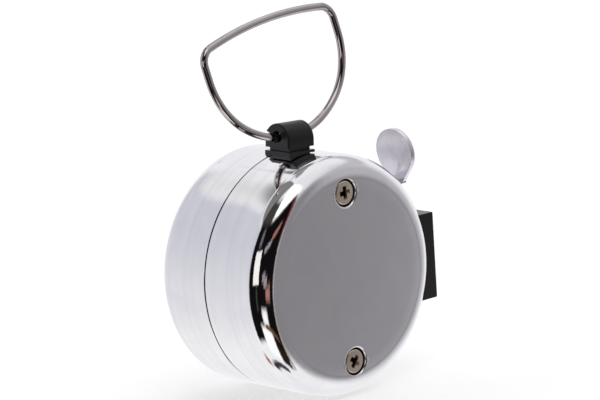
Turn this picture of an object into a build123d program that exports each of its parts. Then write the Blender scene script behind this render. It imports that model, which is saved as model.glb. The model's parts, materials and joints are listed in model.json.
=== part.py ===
from build123d import *
import os
from math import asin, cos, degrees, radians, sin, sqrt

# Hand tally counter, in millimetres.
# Origin: centre of the flat end face that carries the two case screws.
# +X runs along the drum towards the reset knob, -Y faces the number window, +Z points at the finger ring.

# ---------------------------------------------------------------- driving dimensions
case_radius = 22.5
case_length = 29.1
edge_radius = 4.3
wall = 1.0
seam_x = 15.2
seam_gap = 0.28
running_gap = 0.05              # radial clearance of every turning fit

screw_z = 15.86                 # case screws and frame pillars stand this far above and below the axis

wheel_y = -10.5                 # the number wheels' axis
wheel_z = -1.2
wheel_radius = 11.5
wheel_width = 3.5
wheel_pitch = 4.6
wheel_count = 4
window_centre_x = 14.55
shaft_radius = 1.5

gear_teeth = 20
pinion_teeth = 8
module_mm = 0.9
pinion_angle = -30              # direction of the pinion shaft as seen from the wheel axis

ratchet_teeth = 10
ratchet_radius = 4.2
pawl_gap = 0.25                 # room left between a pawl's tip and the ratchet's tips

lever_y = -5.0                  # pivot of the thumb lever
lever_z = 3.5
lever_travel = 12
sheet = 0.95                    # thickness of the lever's sheet metal
tab_x = 10.55
tab_y = -23.24                  # rear face of the thumb tab, at its centre
tab_z = 18.34
tab_radius = 4.63
tab_lean = 4.8
neck_width = 3.0

ring_x = 13.7                   # axis on which the finger ring swings
ring_z = 25.4
ring_wire = 0.75
ring_tilt = 12.3                # the ring leans this far towards the knob end
ring_slide = 6.95               # and has slipped this far round through its holder
holder_y = 0.4
holder_lean = 3                 # the holder stands this far round the drum from the top, leaning with it
holder_offset = 1.71            # its distance in front of the drum's axis before it is turned by that angle

bezel_x = (4.05, 25.05)
bezel_z = (-9.45, 7.05)
bezel_y = (-26.45, -19.6)

# ---------------------------------------------------------------- worked-out dimensions
inner_radius = case_radius - wall
left_end = seam_x - seam_gap / 2
right_start = seam_x + seam_gap / 2
gear_pitch_radius = module_mm * gear_teeth / 2
pinion_pitch_radius = module_mm * pinion_teeth / 2
centre_distance = gear_pitch_radius + pinion_pitch_radius
pinion_y = wheel_y + centre_distance * cos(radians(pinion_angle))
pinion_z = wheel_z + centre_distance * sin(radians(pinion_angle))
wheel_centres = [window_centre_x + wheel_pitch * (i - 1.5) for i in range(wheel_count)]
wheel_names = ["thousands", "hundreds", "tens", "units"]

left_plate_x = (3.4, 4.2)
right_plate_x = (25.8, 26.6)
left_arm_x = (4.5, 5.3)
right_arm_x = (24.6, 25.4)
ratchet_x = (23.3, 24.3)
pawl_x = (23.35, 24.25)


def yz(x, y=0.0, z=0.0):
    """Plane across the drum at x, with its own origin at (y, z), x along +Y and y along +Z."""
    return Plane((x, y, z), x_dir=(0, 1, 0), z_dir=(1, 0, 0))


def box_between(x_range, y_range, z_range, mode=Mode.ADD):
    """A block given by its ranges, added to or cut from the part being built."""
    base = Plane(((x_range[0] + x_range[1]) / 2, (y_range[0] + y_range[1]) / 2, z_range[0]))
    with BuildSketch(base) as section:
        Rectangle(x_range[1] - x_range[0], y_range[1] - y_range[0])
    extrude(section.sketch, amount=z_range[1] - z_range[0], mode=mode)


def rod(x_range, radius, y, z, mode=Mode.ADD):
    """A round bar along X, added to or cut from the part being built."""
    with BuildSketch(yz(x_range[0], y, z)) as section:
        Circle(radius)
    extrude(section.sketch, amount=x_range[1] - x_range[0], mode=mode)


def tube(x_range, outer, inner, y, z):
    """A plain sleeve along X."""
    with BuildSketch(yz(x_range[0], y, z)) as section:
        Circle(outer)
        Circle(inner, mode=Mode.SUBTRACT)
    extrude(section.sketch, amount=x_range[1] - x_range[0])


def link(x_range, start, start_radius, end, end_radius, mode=Mode.ADD):
    """A flat bar across the drum with round ends of two sizes."""
    with BuildSketch(yz(x_range[0])) as section:
        with Locations(start):
            Circle(start_radius)
        with Locations(end):
            Circle(end_radius)
        make_hull()
    extrude(section.sketch, amount=x_range[1] - x_range[0], mode=mode)


def gear(x_range, teeth, root, tip, root_width, tip_width, y, z, start_angle):
    """A toothed disc with straight-sided teeth."""
    with BuildSketch(yz(x_range[0], y, z)) as section:
        Circle(root)
        with PolarLocations(0, teeth, start_angle):
            Polygon(
                (root - 0.4, -root_width / 2),
                (tip, -tip_width / 2),
                (tip, tip_width / 2),
                (root - 0.4, root_width / 2),
                align=None,
            )
    extrude(section.sketch, amount=x_range[1] - x_range[0])


def save(builder, name, turn=0.0):
    """Label a finished piece, turn it round the drum's axis if asked and write it to its own file."""
    piece = builder.part.rotate(Axis.X, turn) if turn else builder.part
    piece.label = name
    export_step(piece, "parts/" + name + ".step")


os.makedirs("parts", exist_ok=True)

# ---------------------------------------------------------------- case: two drawn cups and their screws
window_cut_gap = 0.1
window_cut_x = (bezel_x[0] - window_cut_gap, bezel_x[1] + window_cut_gap)
window_cut_z = (bezel_z[0] - window_cut_gap, bezel_z[1] + window_cut_gap)
front_cut_y = (-case_radius - 1, -15.0)
slot_x = (tab_x - neck_width / 2 - 0.3, tab_x + neck_width / 2 + 0.3)
slot_z = (8.4, 13.95)

holder_neck_x = (ring_x - 1.95, ring_x + 1.95)
holder_neck_y = (holder_offset - 2.3, holder_offset + 2.3)
neck_hole_gap = 0.05
neck_hole_x = (holder_neck_x[0] - neck_hole_gap, holder_neck_x[1] + neck_hole_gap)
neck_hole_y = (holder_neck_y[0] - neck_hole_gap, holder_neck_y[1] + neck_hole_gap)
holder_base = Plane.XY.rotated((holder_lean, 0, 0))     # square to the holder, through the drum's axis



def neck_hole():
    """Cut the opening for the ring holder's neck in the case shell being built."""
    with BuildSketch(holder_base.offset(18)) as section:
        with Locations((ring_x, holder_offset)):
            Rectangle(neck_hole_x[1] - neck_hole_x[0], neck_hole_y[1] - neck_hole_y[0])
    extrude(section.sketch, amount=6, mode=Mode.SUBTRACT)


boss_radius = 3.0
boss_end = 2.0
recess_radius = 2.75
recess_depth = 0.9
screw_hole_radius = 1.15

with BuildPart() as case_left:
    rod((0, left_end), case_radius, 0, 0)
    fillet(case_left.edges().group_by(Axis.X)[0], edge_radius)
    offset(amount=-wall, openings=case_left.faces().sort_by(Axis.X)[-1])
    for side in (-1, 1):
        rod((wall - 0.2, boss_end), boss_radius, 0, side * screw_z)
        rod((0, recess_depth), recess_radius, 0, side * screw_z, Mode.SUBTRACT)
        rod((0, boss_end), screw_hole_radius, 0, side * screw_z, Mode.SUBTRACT)
    box_between(window_cut_x, front_cut_y, window_cut_z, Mode.SUBTRACT)
    box_between(slot_x, front_cut_y, slot_z, Mode.SUBTRACT)
    neck_hole()
save(case_left, "case_left")

lip_inner = 20.9
lip_outer = inner_radius - 0.05
lip_x = (12.8, 16.4)
bush_radius = 3.0

with BuildPart() as case_right:
    rod((right_start, case_length), case_radius, 0, 0)
    fillet(case_right.edges().group_by(Axis.X)[-1], edge_radius)
    offset(amount=-wall, openings=case_right.faces().sort_by(Axis.X)[0])
    tube((lip_x[0], right_start + 0.2), lip_outer, lip_inner, 0, 0)
    tube((right_start, lip_x[1]), inner_radius + 0.3, lip_inner, 0, 0)
    rod((case_length - wall - 1, case_length), bush_radius, wheel_y, wheel_z, Mode.SUBTRACT)
    box_between(window_cut_x, front_cut_y, window_cut_z, Mode.SUBTRACT)
    box_between((lip_x[0] - 0.1, lip_x[1] + 0.1), (-21.49, -15.0), (-10.4, 8.0), Mode.SUBTRACT)
    neck_hole()
save(case_right, "case_right")

head_radius = 2.3
head_x = (0.1, recess_depth)
screw_end = 8.0

with BuildPart() as case_screws:
    for side in (-1, 1):
        rod(head_x, head_radius, 0, side * screw_z)
        rod((head_x[1], screw_end), 1.0, 0, side * screw_z)
    heads = case_screws.edges().group_by(Axis.X)[0]
    fillet(heads, 0.25)
    for side in (-1, 1):
        with BuildSketch(yz(head_x[0], 0, side * screw_z)):
            Rectangle(2.8, 0.6)
            Rectangle(0.6, 2.8)
        extrude(amount=0.6, mode=Mode.SUBTRACT)
save(case_screws, "case_screws")

# ---------------------------------------------------------------- frame inside the case
pillar_radius = 2.2
pillar_end_radius = 1.6
plate_radius = 20.3
plate_front = -19.2
plate_back = 9.0
stop_pin_radius = 0.7
stop_pin = (-11.9, 13.45)
lever_pin_radius = 1.2
stop_pawl_pivot = (-1.5, -3.5)
spring_y = 4.0
spring_top = 8.0
spring_bottom = -9.0
spring_post_radius = 0.7
pawl_pin_radius = 0.6
pinion_shaft_radius = 0.8

for name, x_range in (("frame_plate_left", left_plate_x), ("frame_plate_right", right_plate_x)):
    with BuildPart() as plate:
        with BuildSketch(yz(x_range[0])):
            Circle(plate_radius)
            with Locations(((plate_front + plate_back) / 2, 0)):
                Rectangle(plate_back - plate_front, 2 * plate_radius, mode=Mode.INTERSECT)
            with Locations((0, screw_z), (0, -screw_z)):
                Circle(pillar_end_radius, mode=Mode.SUBTRACT)
            with Locations((wheel_y, wheel_z)):
                Circle(shaft_radius + running_gap, mode=Mode.SUBTRACT)
            with Locations((pinion_y, pinion_z)):
                Circle(pinion_shaft_radius, mode=Mode.SUBTRACT)
            with Locations((lever_y, lever_z)):
                Circle(lever_pin_radius, mode=Mode.SUBTRACT)
            with Locations(stop_pin):
                Circle(stop_pin_radius, mode=Mode.SUBTRACT)
        extrude(amount=x_range[1] - x_range[0])
        if x_range == right_plate_x:
            rod(x_range, pawl_pin_radius, *stop_pawl_pivot, Mode.SUBTRACT)
            rod(x_range, spring_post_radius, spring_y, spring_bottom, Mode.SUBTRACT)
    save(plate, name)

with BuildPart() as frame_pillars:
    for side in (-1, 1):
        rod((boss_end, case_length - wall), pillar_end_radius, 0, side * screw_z)
        rod((left_plate_x[1], right_plate_x[0]), pillar_radius, 0, side * screw_z)
        rod((boss_end, screw_end), 1.0, 0, side * screw_z, Mode.SUBTRACT)
save(frame_pillars, "frame_pillars")

with BuildPart() as lever_stop_pin:
    rod((left_plate_x[0], right_plate_x[1]), stop_pin_radius, *stop_pin)
save(lever_stop_pin, "lever_stop_pin")

with BuildPart() as pinion_shaft:
    rod((left_plate_x[0], right_plate_x[1]), pinion_shaft_radius, pinion_y, pinion_z)
save(pinion_shaft, "pinion_shaft")

# ---------------------------------------------------------------- number window
opening_x = (6.2, 22.9)
opening_z = (-5.4, 3.0)
lens_x = (5.5, 23.6)
lens_z = (-6.1, 3.7)
lens_y = (-25.3, -24.3)
wheel_room = 0.5

with BuildPart() as window_bezel:
    box_between(bezel_x, bezel_y, bezel_z)
    chamfer(window_bezel.faces().sort_by(Axis.Y)[0].edges(), 0.25)
    box_between(opening_x, (bezel_y[0] - 1, bezel_y[1] + 1), opening_z, Mode.SUBTRACT)
    box_between(lens_x, (bezel_y[0] - 1, lens_y[1]), lens_z, Mode.SUBTRACT)
    rod((5.6, 23.5), wheel_radius + wheel_room, wheel_y, wheel_z, Mode.SUBTRACT)
save(window_bezel, "window_bezel")

with BuildPart() as window_lens:
    box_between(lens_x, lens_y, lens_z)
    chamfer(window_lens.faces().sort_by(Axis.Y)[0].edges(), 0.2)
save(window_lens, "window_lens")

# ---------------------------------------------------------------- number wheels, carry gears and their shafts
gear_root = gear_pitch_radius - 0.85
gear_tip = gear_pitch_radius + 0.5
pinion_root = pinion_pitch_radius - 0.85
pinion_tip = pinion_pitch_radius + 0.5
gear_thickness = 0.45
cam_radius = 7.6
cam_tooth_tip = 8.2
hub_radius = 3.0
hub_half = 2.25
pinion_width = 0.9
units_index = wheel_count - 1

for i, centre in enumerate(wheel_centres):
    side_left = centre - wheel_width / 2
    side_right = centre + wheel_width / 2
    with BuildPart() as wheel:
        rod((side_left, side_right), wheel_radius, wheel_y, wheel_z)
        chamfer(wheel.edges().filter_by(GeomType.CIRCLE), 0.15)
        if i > 0:
            rod((side_left - gear_thickness, side_left), cam_radius, wheel_y, wheel_z)
            gear(
                (side_left - gear_thickness, side_left), 2, cam_radius, cam_tooth_tip,
                1.0, 0.6, wheel_y, wheel_z, 60,
            )
        if i < units_index:
            gear(
                (side_right, side_right + gear_thickness), gear_teeth, gear_root, gear_tip,
                1.5, 0.7, wheel_y, wheel_z, pinion_angle,
            )
            rod((side_right, centre + hub_half), hub_radius, wheel_y, wheel_z)
        rod((centre - hub_half, side_left), hub_radius, wheel_y, wheel_z)
        with BuildSketch(yz(centre - hub_half, wheel_y, wheel_z)):
            with PolarLocations(5.4, 5):
                Circle(1.3)
        extrude(amount=2 * hub_half, mode=Mode.SUBTRACT)
        rod((centre - 3, centre + 3), shaft_radius + running_gap, wheel_y, wheel_z, Mode.SUBTRACT)
    save(wheel, wheel_names[i] + "_wheel")

pinion_start = pinion_angle + 180 + 180 / pinion_teeth
for i in range(units_index):
    gap_centre = (wheel_centres[i] + wheel_centres[i + 1]) / 2
    x_range = (gap_centre - pinion_width / 2, gap_centre + pinion_width / 2)
    with BuildPart() as pinion:
        gear(x_range, pinion_teeth, pinion_root, pinion_tip, 1.25, 0.55, pinion_y, pinion_z, pinion_start)
        rod(x_range, pinion_shaft_radius + running_gap, pinion_y, pinion_z, Mode.SUBTRACT)
    save(pinion, wheel_names[i] + "_pinion")

ratchet_root = 3.2
with BuildPart() as ratchet_wheel:
    with BuildSketch(yz(ratchet_x[0], wheel_y, wheel_z)):
        Circle(ratchet_root)
        with PolarLocations(0, ratchet_teeth):
            Polygon((ratchet_root - 0.3, -1.2), (ratchet_radius, 0.15), (ratchet_root - 0.3, 0.3), align=None)
    extrude(amount=ratchet_x[1] - ratchet_x[0])
    rod((wheel_centres[units_index] + wheel_width / 2, ratchet_x[1]), 2.6, wheel_y, wheel_z)
    rod((23, 25), shaft_radius + running_gap, wheel_y, wheel_z, Mode.SUBTRACT)
save(ratchet_wheel, "ratchet_wheel")

shaft_x = (1.8, 33.6)
clip_x = (2.5, 3.1)
keyway_width = 0.6
keyway_depth = 0.4
shaft_top = wheel_z + shaft_radius
keyway_y = (wheel_y - keyway_width / 2, wheel_y + keyway_width / 2)

with BuildPart() as wheel_shaft:
    rod(shaft_x, shaft_radius, wheel_y, wheel_z)
    box_between((5.4, 23.2), keyway_y, (shaft_top - keyway_depth, shaft_top + 1), Mode.SUBTRACT)
save(wheel_shaft, "wheel_shaft")

with BuildPart() as shaft_clip:
    tube(clip_x, 2.6, shaft_radius, wheel_y, wheel_z)
    box_between((2, 4), (wheel_y, wheel_y + 3), (wheel_z - 0.7, wheel_z + 0.7), Mode.SUBTRACT)
save(shaft_clip, "shaft_clip")

left_hub_end = wheel_centres[0] - hub_half
with BuildPart() as shaft_washers:
    tube((left_plate_x[1], left_hub_end - 0.1), 2.6, shaft_radius + running_gap, wheel_y, wheel_z)
    tube((ratchet_x[1] + 0.1, right_plate_x[0]), 1.9, shaft_radius + running_gap, wheel_y, wheel_z)
save(shaft_washers, "shaft_washers")

# ---------------------------------------------------------------- reset knob
knob_radius = 7.4
knob_x = (30.0, 35.6)
knob_hub_start = 29.55
bush_end = 29.35
dish_radius = 5.0
dish_depth = 0.7
knurls = 40

with BuildPart() as knob_bush:
    tube((case_length - wall, bush_end), bush_radius, shaft_radius + running_gap, wheel_y, wheel_z)
    tube((case_length - wall - 0.5, case_length - wall), 4.0, shaft_radius + running_gap, wheel_y, wheel_z)
save(knob_bush, "knob_bush")

with BuildPart() as reset_knob:
    rod(knob_x, knob_radius, wheel_y, wheel_z)
    chamfer(reset_knob.edges().filter_by(GeomType.CIRCLE), 0.5)
    with BuildSketch(yz(knob_x[0], wheel_y, wheel_z)):
        with PolarLocations(knob_radius + 0.12, knurls):
            Circle(0.34)
    extrude(amount=knob_x[1] - knob_x[0], mode=Mode.SUBTRACT)
    rod((knob_x[1] - dish_depth, knob_x[1] + 1), dish_radius, wheel_y, wheel_z, Mode.SUBTRACT)
    rod((knob_hub_start, knob_x[0]), 3.6, wheel_y, wheel_z)
    rod((knob_hub_start, shaft_x[1]), shaft_radius, wheel_y, wheel_z, Mode.SUBTRACT)
    rod((shaft_x[1], knob_x[1]), 0.8, wheel_y, wheel_z, Mode.SUBTRACT)
save(reset_knob, "reset_knob")

screw_seat = knob_x[1] - dish_depth
with BuildPart() as knob_screw:
    rod((shaft_x[1], screw_seat), 0.8, wheel_y, wheel_z)
    rod((screw_seat, knob_x[1] - 0.05), 1.7, wheel_y, wheel_z)
    box_between(
        (screw_seat + 0.25, knob_x[1]),
        (wheel_y - 2, wheel_y + 2),
        (wheel_z - 0.2, wheel_z + 0.2),
        Mode.SUBTRACT,
    )
save(knob_screw, "knob_screw")

# ---------------------------------------------------------------- thumb lever, its pins and spring
bridge_z = (12.0, 12.0 + sheet)
neck_z = (12.45, 12.45 + sheet)  # the neck is set up a little from the bridge
bridge_y = (-15.5, -12.5)
lever_bore = lever_pin_radius + running_gap
arm_hub = 2.0
arm_top = (-14.0, 12.2)
tail_end = (spring_y, spring_top)
drive_pivot = (-9.8, -8.3)
lean = radians(tab_lean)
tab_plane = Plane((tab_x, tab_y, tab_z), x_dir=(1, 0, 0), z_dir=(0, -cos(lean), sin(lean)))
neck_drop = (tab_z - neck_z[0]) / cos(lean)
tangent_angle = radians(38)
tangent_x = tab_radius * cos(tangent_angle)
tangent_y = -tab_radius * sin(tangent_angle)
taper_end_y = tangent_y - (tangent_x - neck_width / 2) / 0.78

with BuildPart() as thumb_lever:
    for x_range in (left_arm_x, right_arm_x):
        link(x_range, (lever_y, lever_z), arm_hub, arm_top, 1.2)
    link(right_arm_x, (lever_y, lever_z), arm_hub, tail_end, 1.3)
    link(right_arm_x, (lever_y, lever_z), 1.5, drive_pivot, 1.2)
    box_between((left_arm_x[0], right_arm_x[1]), bridge_y, bridge_z)
    neck_x = (tab_x - neck_width / 2, tab_x + neck_width / 2)
    box_between(neck_x, (tab_y - sheet + 0.4, bridge_y[0] + 0.95), neck_z)
    with BuildSketch(tab_plane):
        Circle(tab_radius)
        with BuildLine():
            Polyline(
                (-tangent_x, tangent_y),
                (-neck_width / 2, taper_end_y),
                (-neck_width / 2, -neck_drop),
                (neck_width / 2, -neck_drop),
                (neck_width / 2, taper_end_y),
                (tangent_x, tangent_y),
                close=True,
            )
        make_face()
    extrude(amount=sheet)
    for x_range in (left_arm_x, right_arm_x):
        rod(x_range, lever_bore, lever_y, lever_z, Mode.SUBTRACT)
    rod(right_arm_x, pawl_pin_radius, *drive_pivot, Mode.SUBTRACT)
    rod(right_arm_x, spring_post_radius, *tail_end, Mode.SUBTRACT)
save(thumb_lever, "thumb_lever")

with BuildPart() as lever_pivot_pins:
    rod((left_plate_x[0], left_arm_x[1] + 0.3), lever_pin_radius, lever_y, lever_z)
    rod((right_arm_x[0] - 0.2, right_plate_x[1]), lever_pin_radius, lever_y, lever_z)
save(lever_pivot_pins, "lever_pivot_pins")

spring_x = 22.6
spring_wire = 0.25
spring_radius = 1.2
spring_turns = 11
thin_wire = 0.8                 # a spring's straight ends, as a share of its coil's wire
post_start = 21.6

with BuildPart() as lever_spring_post:
    rod((post_start, right_arm_x[1]), spring_post_radius, *tail_end)
save(lever_spring_post, "lever_spring_post")

with BuildPart() as frame_spring_post:
    rod((post_start, right_plate_x[1]), spring_post_radius, spring_y, spring_bottom)
save(frame_spring_post, "frame_spring_post")

coil_bottom = spring_bottom + spring_radius
coil_top = spring_top - spring_radius
coil_height = coil_top - coil_bottom
with BuildPart() as lever_spring:
    with BuildLine():
        coil = Helix(
            pitch=coil_height / spring_turns,
            height=coil_height,
            radius=spring_radius,
            center=(spring_x, spring_y, coil_bottom),
        )
    with BuildSketch(Plane(coil @ 0, z_dir=coil % 0)):
        Circle(spring_wire)
    sweep(is_frenet=True)
    for z in (coil_bottom, coil_top):
        rod((spring_x - 0.05, spring_x + spring_radius + 0.1), thin_wire * spring_wire, spring_y, z)
    for z in (spring_bottom, spring_top):
        with BuildSketch(Plane.XY.offset(z)):
            with Locations((spring_x, spring_y + spring_radius)):
                Circle(spring_wire)
        revolve(axis=Axis((spring_x, spring_y, z), (1, 0, 0)), revolution_arc=360)
save(lever_spring, "lever_spring")

# ---------------------------------------------------------------- pawls
tip_round = 0.3


def point_about(pivot, radius, angle):
    """A point at a distance and direction from a pivot, in the plane across the drum."""
    return (pivot[0] + radius * cos(radians(angle)), pivot[1] + radius * sin(radians(angle)))


tip_distance = ratchet_radius + pawl_gap + tip_round
pivot_to_ratchet = sqrt((wheel_y - lever_y) ** 2 + (wheel_z - lever_z) ** 2)
ratchet_direction = 180 + degrees(asin((lever_z - wheel_z) / pivot_to_ratchet))
drive_tip = point_about(
    (lever_y, lever_z), pivot_to_ratchet + tip_distance, ratchet_direction - lever_travel / 2
)
drive_knee = (-13.9, -6.4)
stop_tip = point_about((wheel_y, wheel_z), tip_distance, 20)
spring_gap_x = (pawl_x[1] + 0.02, right_arm_x[0] - 0.02)
pawl_spring_wire = (spring_gap_x[1] - spring_gap_x[0]) / 2 - 0.01
pawl_spring_x = (spring_gap_x[0] + spring_gap_x[1]) / 2
pawl_spring_radius = 1.0

with BuildPart() as drive_pawl:
    link(pawl_x, drive_pivot, 1.3, drive_knee, 0.9)
    link(pawl_x, drive_knee, 0.9, drive_tip, tip_round)
    rod(pawl_x, pawl_pin_radius + running_gap, *drive_pivot, Mode.SUBTRACT)
save(drive_pawl, "drive_pawl")

with BuildPart() as stop_pawl:
    link(pawl_x, stop_pawl_pivot, 1.3, stop_tip, tip_round)
    rod(pawl_x, pawl_pin_radius + running_gap, *stop_pawl_pivot, Mode.SUBTRACT)
save(stop_pawl, "stop_pawl")

with BuildPart() as drive_pawl_pin:
    rod((pawl_x[0], right_arm_x[1]), pawl_pin_radius, *drive_pivot)
save(drive_pawl_pin, "drive_pawl_pin")

with BuildPart() as stop_pawl_pin:
    rod((pawl_x[0], right_plate_x[1]), pawl_pin_radius, *stop_pawl_pivot)
save(stop_pawl_pin, "stop_pawl_pin")

for name, pivot, leg_end in (
    ("drive_pawl_spring", drive_pivot, drive_knee),
    ("stop_pawl_spring", stop_pawl_pivot, stop_tip),
):
    with BuildPart() as pawl_spring:
        with BuildSketch(Plane.XY.offset(pivot[1])):
            with Locations((pawl_spring_x, pivot[0] + pawl_spring_radius)):
                Circle(pawl_spring_wire)
        revolve(axis=Axis((pawl_spring_x, *pivot), (1, 0, 0)), revolution_arc=360)
        direction = Vector(0, leg_end[0] - pivot[0], leg_end[1] - pivot[1])
        leg_start = Vector(pawl_spring_x, *pivot) + direction.normalized() * pawl_spring_radius
        with BuildSketch(Plane(leg_start, z_dir=direction)):
            Circle(thin_wire * pawl_spring_wire)
        extrude(amount=direction.length - pawl_spring_radius - 0.5)
    save(pawl_spring, name)

# ---------------------------------------------------------------- ring holder and its retainer
holder_y_range = (holder_offset - 3.25, holder_offset + 3.25)
holder_radius = 3.25
holder_x = (ring_x - holder_radius, ring_x + holder_radius)
holder_bottom = 23.42
holder_top = 27.95
flange_top = 22.75
bore_radius = 1.2
bore_z = 25.43
mouth_half = 0.7                # a little less than the wire, which snaps through
slot_half = 0.87
collar_half = 2.6
retainer_z = (19.5, 20.2)
neck_bottom = 19.0
turn_centre_z = holder_top - holder_radius
back_plane = Plane((0, holder_y_range[1], 0), x_dir=(1, 0, 0), z_dir=(0, -1, 0))
holder_depth = holder_y_range[1] - holder_y_range[0]

with BuildPart() as ring_holder:
    with BuildSketch(back_plane):
        with Locations((ring_x, turn_centre_z)):
            Circle(holder_radius)
        with Locations((ring_x, (holder_bottom + turn_centre_z) / 2)):
            Rectangle(2 * holder_radius, turn_centre_z - holder_bottom)
        with Locations((ring_x, holder_bottom - 5)):
            Rectangle(2 * holder_radius, 10, mode=Mode.SUBTRACT)
    extrude(amount=holder_depth)
    fillet(ring_holder.faces().sort_by(Axis.Z)[-1].edges().filter_by(GeomType.CIRCLE), 0.3)
    box_between(holder_x, holder_y_range, (21.5, flange_top))
    rod((ring_x - 5, ring_x + 5), case_radius, 0, 0, Mode.SUBTRACT)
    box_between(
        (ring_x - collar_half, ring_x + collar_half),
        (holder_offset - collar_half, holder_offset + collar_half),
        (flange_top - 0.1, holder_bottom + 0.1),
    )
    box_between(holder_neck_x, holder_neck_y, (neck_bottom, holder_bottom + 0.3))
    with BuildSketch(back_plane):
        with Locations((ring_x, bore_z)):
            Circle(bore_radius)
        with BuildLine():
            Polyline(
                (ring_x, bore_z - mouth_half),
                (ring_x + 1.3, bore_z - mouth_half),
                (ring_x + 1.8, bore_z - slot_half),
                (ring_x + 4.0, bore_z - slot_half),
                (ring_x + 4.0, bore_z + 1.5),
                (ring_x + 1.5, bore_z + slot_half),
                (ring_x + 1.1, bore_z + mouth_half),
                (ring_x, bore_z + mouth_half),
                close=True,
            )
        make_face()
    extrude(amount=holder_depth, mode=Mode.SUBTRACT)
save(ring_holder, "ring_holder", holder_lean)

with BuildPart() as holder_retainer:
    box_between((ring_x - 3.2, ring_x + 3.2), (holder_offset - 3.6, holder_offset + 3.6), retainer_z)
    box_between(holder_neck_x, holder_neck_y, (18, 22), Mode.SUBTRACT)
save(holder_retainer, "holder_retainer", holder_lean)

# ---------------------------------------------------------------- finger ring: one closed loop of round wire
bowl_radius = 18.9
bowl_angle = radians(39)
side_radius = 13.86
side_length = 2.66
corner_radius = 3.0
arch_radius = 76.0
half_width = side_radius + (bowl_radius - side_radius) * sin(bowl_angle)
side_top = side_length + bowl_radius - (bowl_radius - side_radius) * cos(bowl_angle)
arch_half_angle = degrees(asin((half_width - corner_radius) / (arch_radius - corner_radius)))
tilt = radians(ring_tilt)
slide = radians(ring_slide)
across = Vector(0, -1, 0)
upward = Vector(sin(tilt), 0, cos(tilt))
ring_origin = Vector(ring_x, holder_y, ring_z) + across * (bowl_radius * sin(slide))
ring_x_dir = across * cos(slide) + upward * sin(slide)
ring_plane = Plane(ring_origin, x_dir=ring_x_dir, z_dir=across.cross(upward))

with BuildPart() as finger_ring:
    with BuildLine(ring_plane) as loop:
        bowl = JernArc(start=(0, 0), tangent=(1, 0), radius=bowl_radius, arc_size=degrees(bowl_angle))
        turn_up = JernArc(
            start=bowl @ 1,
            tangent=(cos(bowl_angle), sin(bowl_angle)),
            radius=side_radius,
            arc_size=90 - degrees(bowl_angle),
        )
        side = Line(turn_up @ 1, (half_width, side_top))
        corner = JernArc(start=side @ 1, tangent=(0, 1), radius=corner_radius, arc_size=90 - arch_half_angle)
        arch = JernArc(
            start=corner @ 1,
            tangent=(-cos(radians(arch_half_angle)), sin(radians(arch_half_angle))),
            radius=arch_radius,
            arc_size=arch_half_angle,
        )
        mirror(about=Plane(ring_origin, z_dir=ring_x_dir))
    with BuildSketch(Plane(loop.wires()[0] @ 0, z_dir=loop.wires()[0] % 0)):
        Circle(ring_wire)
    sweep(path=loop.wires()[0])
save(finger_ring, "finger_ring")
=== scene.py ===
import json
from math import asin, cos, pi, radians, sin

import bmesh
import bpy
import numpy as np
from mathutils import Matrix, Vector

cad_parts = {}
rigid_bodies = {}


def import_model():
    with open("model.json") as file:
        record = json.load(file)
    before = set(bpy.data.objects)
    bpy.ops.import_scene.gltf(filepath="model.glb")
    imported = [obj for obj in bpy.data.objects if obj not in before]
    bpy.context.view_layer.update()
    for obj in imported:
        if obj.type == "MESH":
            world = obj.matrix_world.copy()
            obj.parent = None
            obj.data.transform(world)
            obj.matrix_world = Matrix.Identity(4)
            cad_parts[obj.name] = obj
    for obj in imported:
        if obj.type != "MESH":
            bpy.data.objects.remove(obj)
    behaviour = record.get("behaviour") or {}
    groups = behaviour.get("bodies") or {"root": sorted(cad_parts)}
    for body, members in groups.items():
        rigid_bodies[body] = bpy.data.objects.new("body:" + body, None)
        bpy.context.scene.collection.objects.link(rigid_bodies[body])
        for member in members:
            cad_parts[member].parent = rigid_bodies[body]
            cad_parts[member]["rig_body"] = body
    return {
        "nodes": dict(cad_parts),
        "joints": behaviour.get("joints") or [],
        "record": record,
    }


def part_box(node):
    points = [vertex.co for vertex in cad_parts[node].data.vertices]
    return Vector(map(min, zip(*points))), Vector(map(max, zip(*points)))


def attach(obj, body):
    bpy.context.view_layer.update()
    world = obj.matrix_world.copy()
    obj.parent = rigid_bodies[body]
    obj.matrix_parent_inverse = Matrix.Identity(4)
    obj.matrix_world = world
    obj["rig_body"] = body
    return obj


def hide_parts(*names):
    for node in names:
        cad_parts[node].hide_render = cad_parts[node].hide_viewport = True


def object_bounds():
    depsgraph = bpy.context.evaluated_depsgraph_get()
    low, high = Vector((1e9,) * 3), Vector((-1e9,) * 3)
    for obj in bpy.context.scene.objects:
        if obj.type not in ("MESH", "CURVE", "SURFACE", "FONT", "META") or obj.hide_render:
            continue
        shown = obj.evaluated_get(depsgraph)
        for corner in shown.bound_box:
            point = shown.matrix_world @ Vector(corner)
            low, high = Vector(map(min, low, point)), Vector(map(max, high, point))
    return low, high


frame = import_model()
cad_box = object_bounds()

mm = 0.001
scene = bpy.context.scene

# ---------------------------------------------------------------- sizes read from the frame, and details
end_low, end_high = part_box("case_left")
far_low, far_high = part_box("case_right")
case_radius = end_high.z
case_length = far_high.x
left_end = end_high.x
right_start = left_end + 0.28 * mm
edge_radius = 4.3 * mm
wall = 1.0 * mm
face_radius = case_radius - edge_radius
inner_radius = case_radius - wall
seam_round = 0.09 * mm

# A drawn cup has no sharp change of curvature: its flat end and its straight side both run into the
# rounded edge by a few degrees of a much larger curve.
end_blend = 31.8 * mm
end_angle = 4.5
side_blend = 132 * mm
side_angle = 2.0
edge_x = end_blend * (1 - cos(radians(end_angle))) + edge_radius * cos(radians(end_angle))
edge_r = case_radius - side_blend * (1 - cos(radians(side_angle))) - edge_radius * cos(radians(side_angle))
end_flat = edge_r + (edge_radius - end_blend) * sin(radians(end_angle))
side_flat = edge_x + (side_blend - edge_radius) * sin(radians(side_angle))
crown = radians(1.6)            # how far the flat end is shaded as if it were crowned, at its edge

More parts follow.
